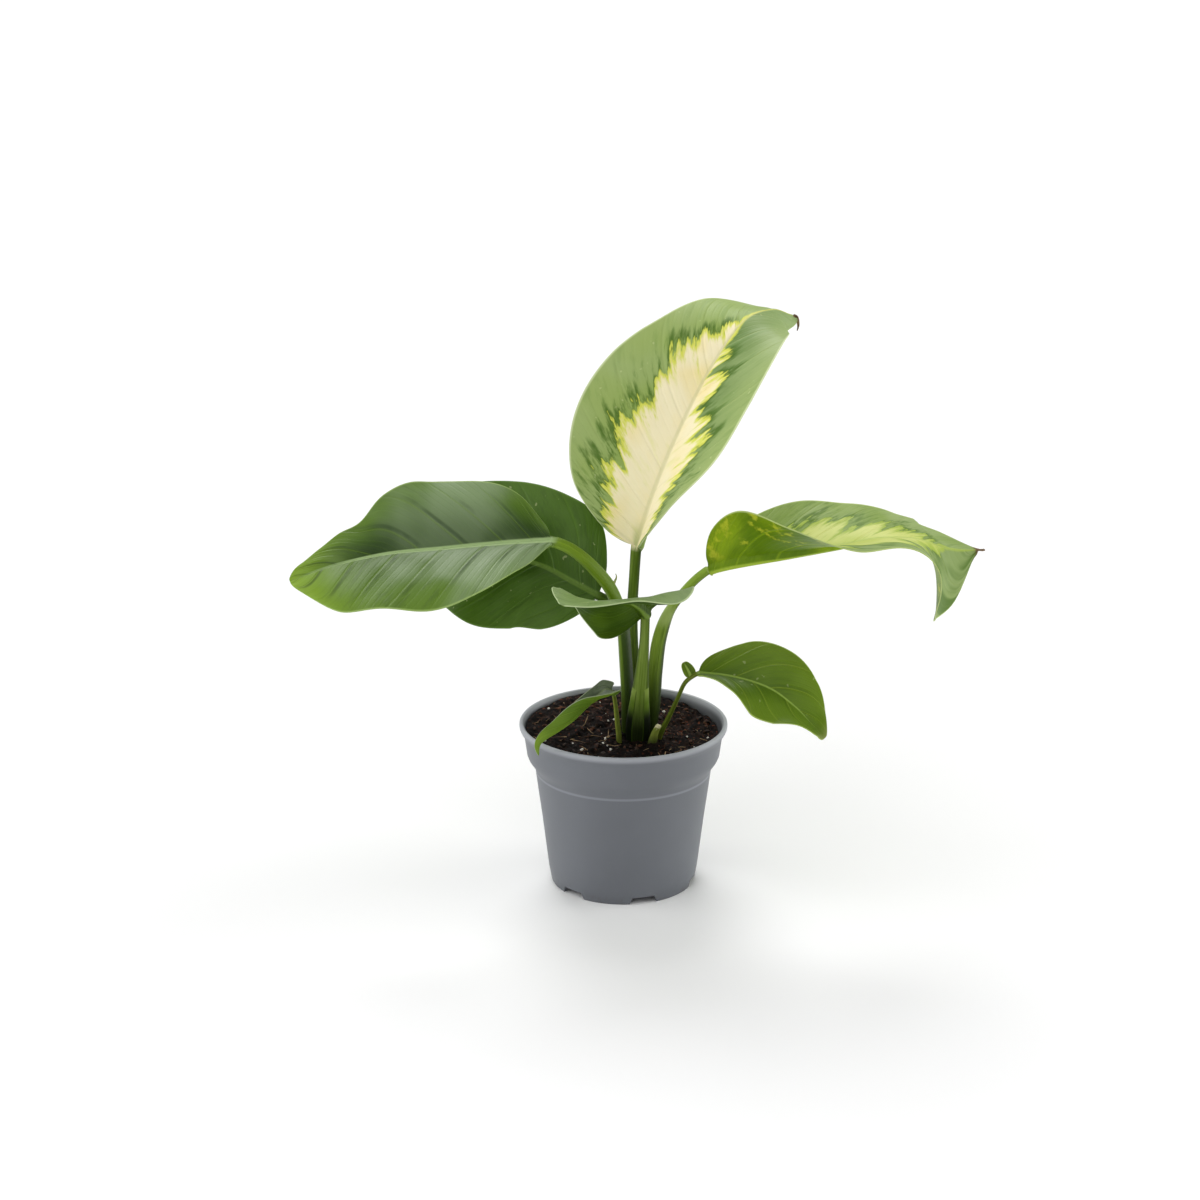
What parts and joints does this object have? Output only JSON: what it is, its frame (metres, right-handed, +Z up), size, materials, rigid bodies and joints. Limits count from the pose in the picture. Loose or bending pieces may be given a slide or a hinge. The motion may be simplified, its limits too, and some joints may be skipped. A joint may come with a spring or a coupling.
{
  "type": "potted dieffenbachia",
  "caption": "Young dieffenbachia in a round nursery pot: broad leaves on upright sheathed stalks in dark soil, a small folded leaf hanging over the rim.",
  "frame": {"origin": "centre of the pot's foot, on the plane that it stands on", "axes": "+Z up along the pot's axis; -Y is the front, toward the side the picture was taken from; +X is to the right as seen from the front"},
  "size_m": [0.3876, 0.1704, 0.329],
  "materials": {
    "pot": "grey-blue moulded plastic, satin matte, lip slightly lighter",
    "soil": "dark damp peat with fibres and white perlite specks, rough",
    "cane": "green-brown rootstock, matte",
    "leaf_crown": "green leaf with a cream centre, soft waxy sheen",
    "leaf_left": "plain green leaf with a pale midrib, waxy sheen",
    "leaf_behind": "dark green leaf, waxy sheen",
    "leaf_front": "grey-green leaf, satin",
    "leaf_right": "green leaf with yellow-cream marks along the midrib, satin",
    "leaf_low_right": "plain green leaf, yellowish at the tip, satin",
    "leaf_low_left": "green folded leaf, satin"
  },
  "bodies": {
    "root": {"pot": "pot", "soil": "soil", "cane": "cane", "leaf_crown": "leaf_crown", "leaf_left": "leaf_left", "leaf_behind": "leaf_behind", "leaf_front": "leaf_front", "leaf_right": "leaf_right", "leaf_low_right": "leaf_low_right", "leaf_low_left": "leaf_low_left"}
  },
  "joints": []
}
